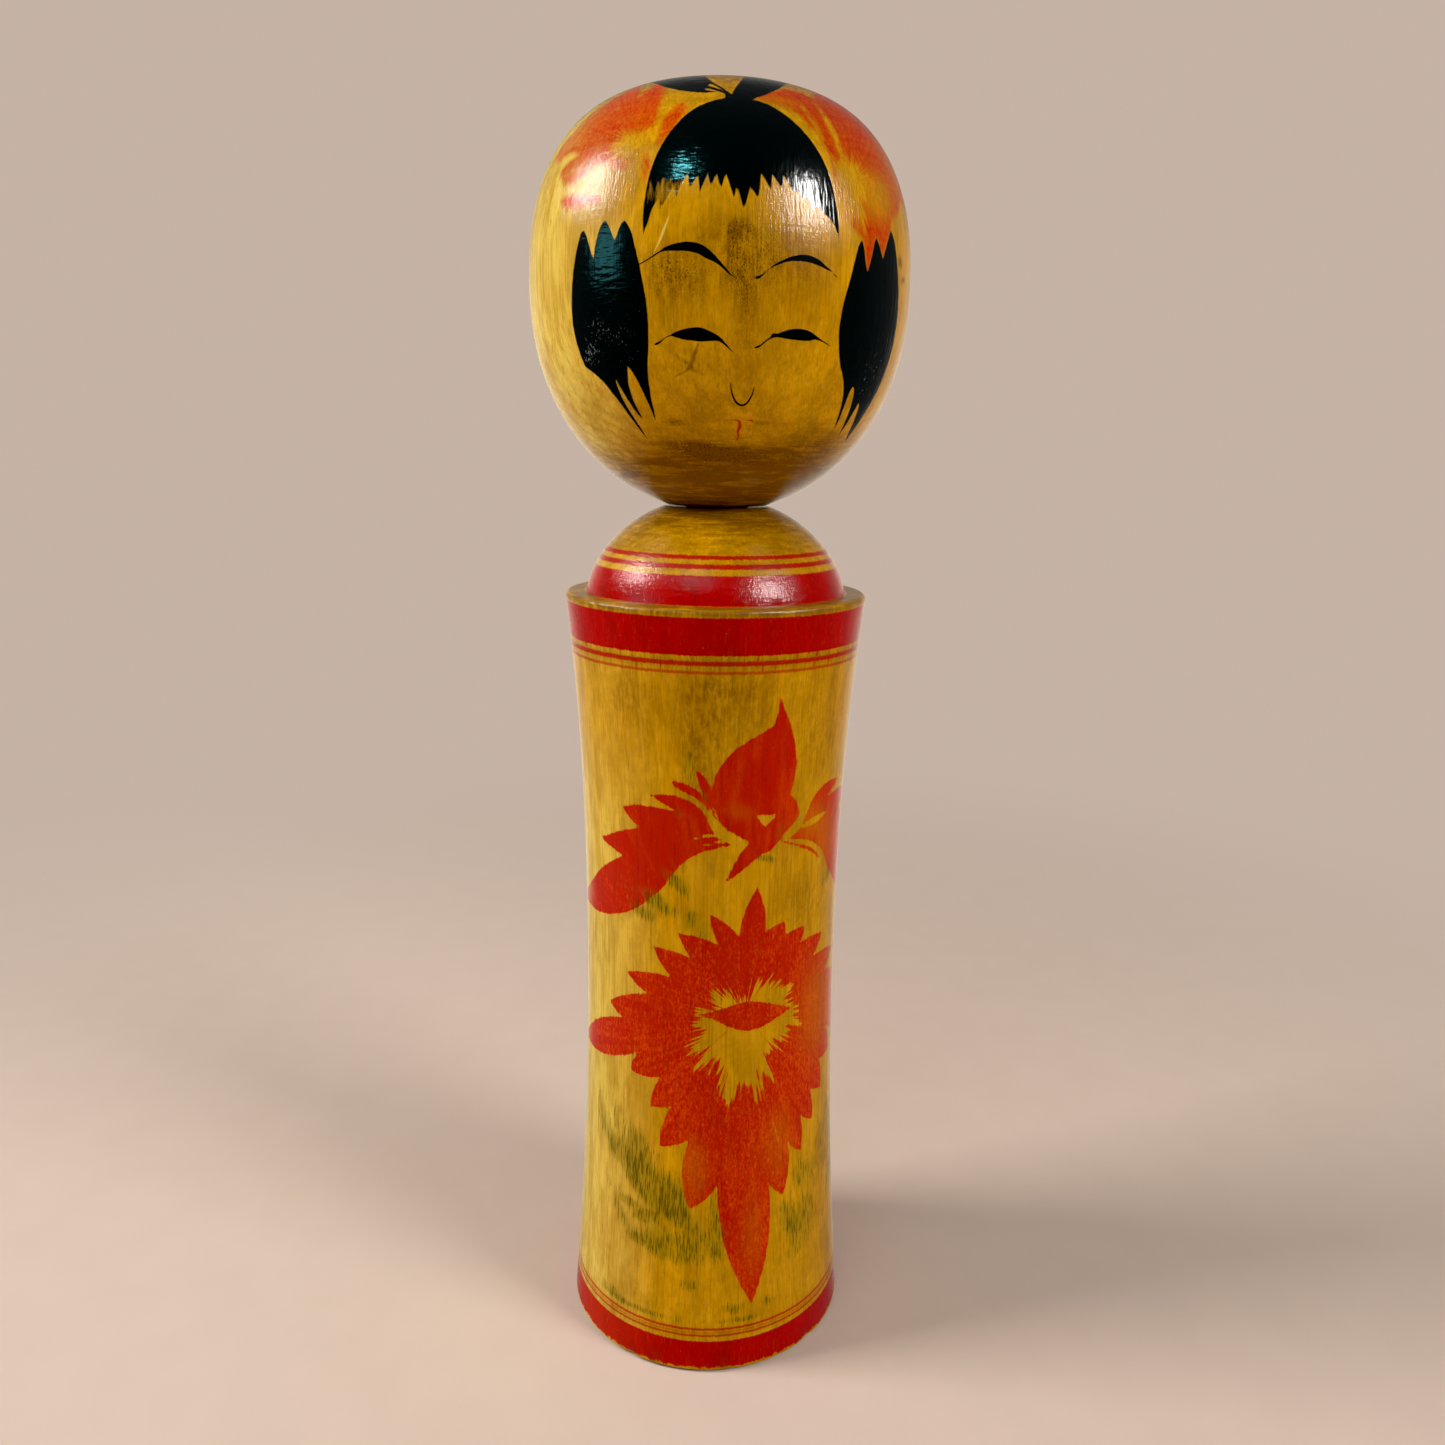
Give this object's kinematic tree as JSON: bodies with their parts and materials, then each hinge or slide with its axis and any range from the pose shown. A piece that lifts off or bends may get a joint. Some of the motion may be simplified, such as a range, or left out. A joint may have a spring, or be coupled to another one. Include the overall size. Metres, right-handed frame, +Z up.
{
  "type": "kokeshi doll",
  "caption": "Turned wooden doll: a waisted, round body with a domed shoulder, and a large rounded head that turns on a captive neck tenon. Painted and waxed.",
  "frame": {"origin": "centre of the base, on the surface that the doll stands on", "axes": "+Z up along the axis of turning, -Y towards the viewer of the face, +X to the right as the viewer sees it"},
  "size_m": [0.0866, 0.0866, 0.303],
  "materials": {
    "body_wood": "waxed, with red, black and green painting",
    "head_wood": "waxed, with red and black painting"
  },
  "bodies": {
    "body": {"body": "body_wood"},
    "head": {"head": "head_wood"}
  },
  "joints": [
    {"name": "head_turn", "type": "hinge", "parent": "body", "child": "head", "pos_m": [0, 0, 0.2138], "axis": [0, 0, 1], "continuous": true}
  ]
}
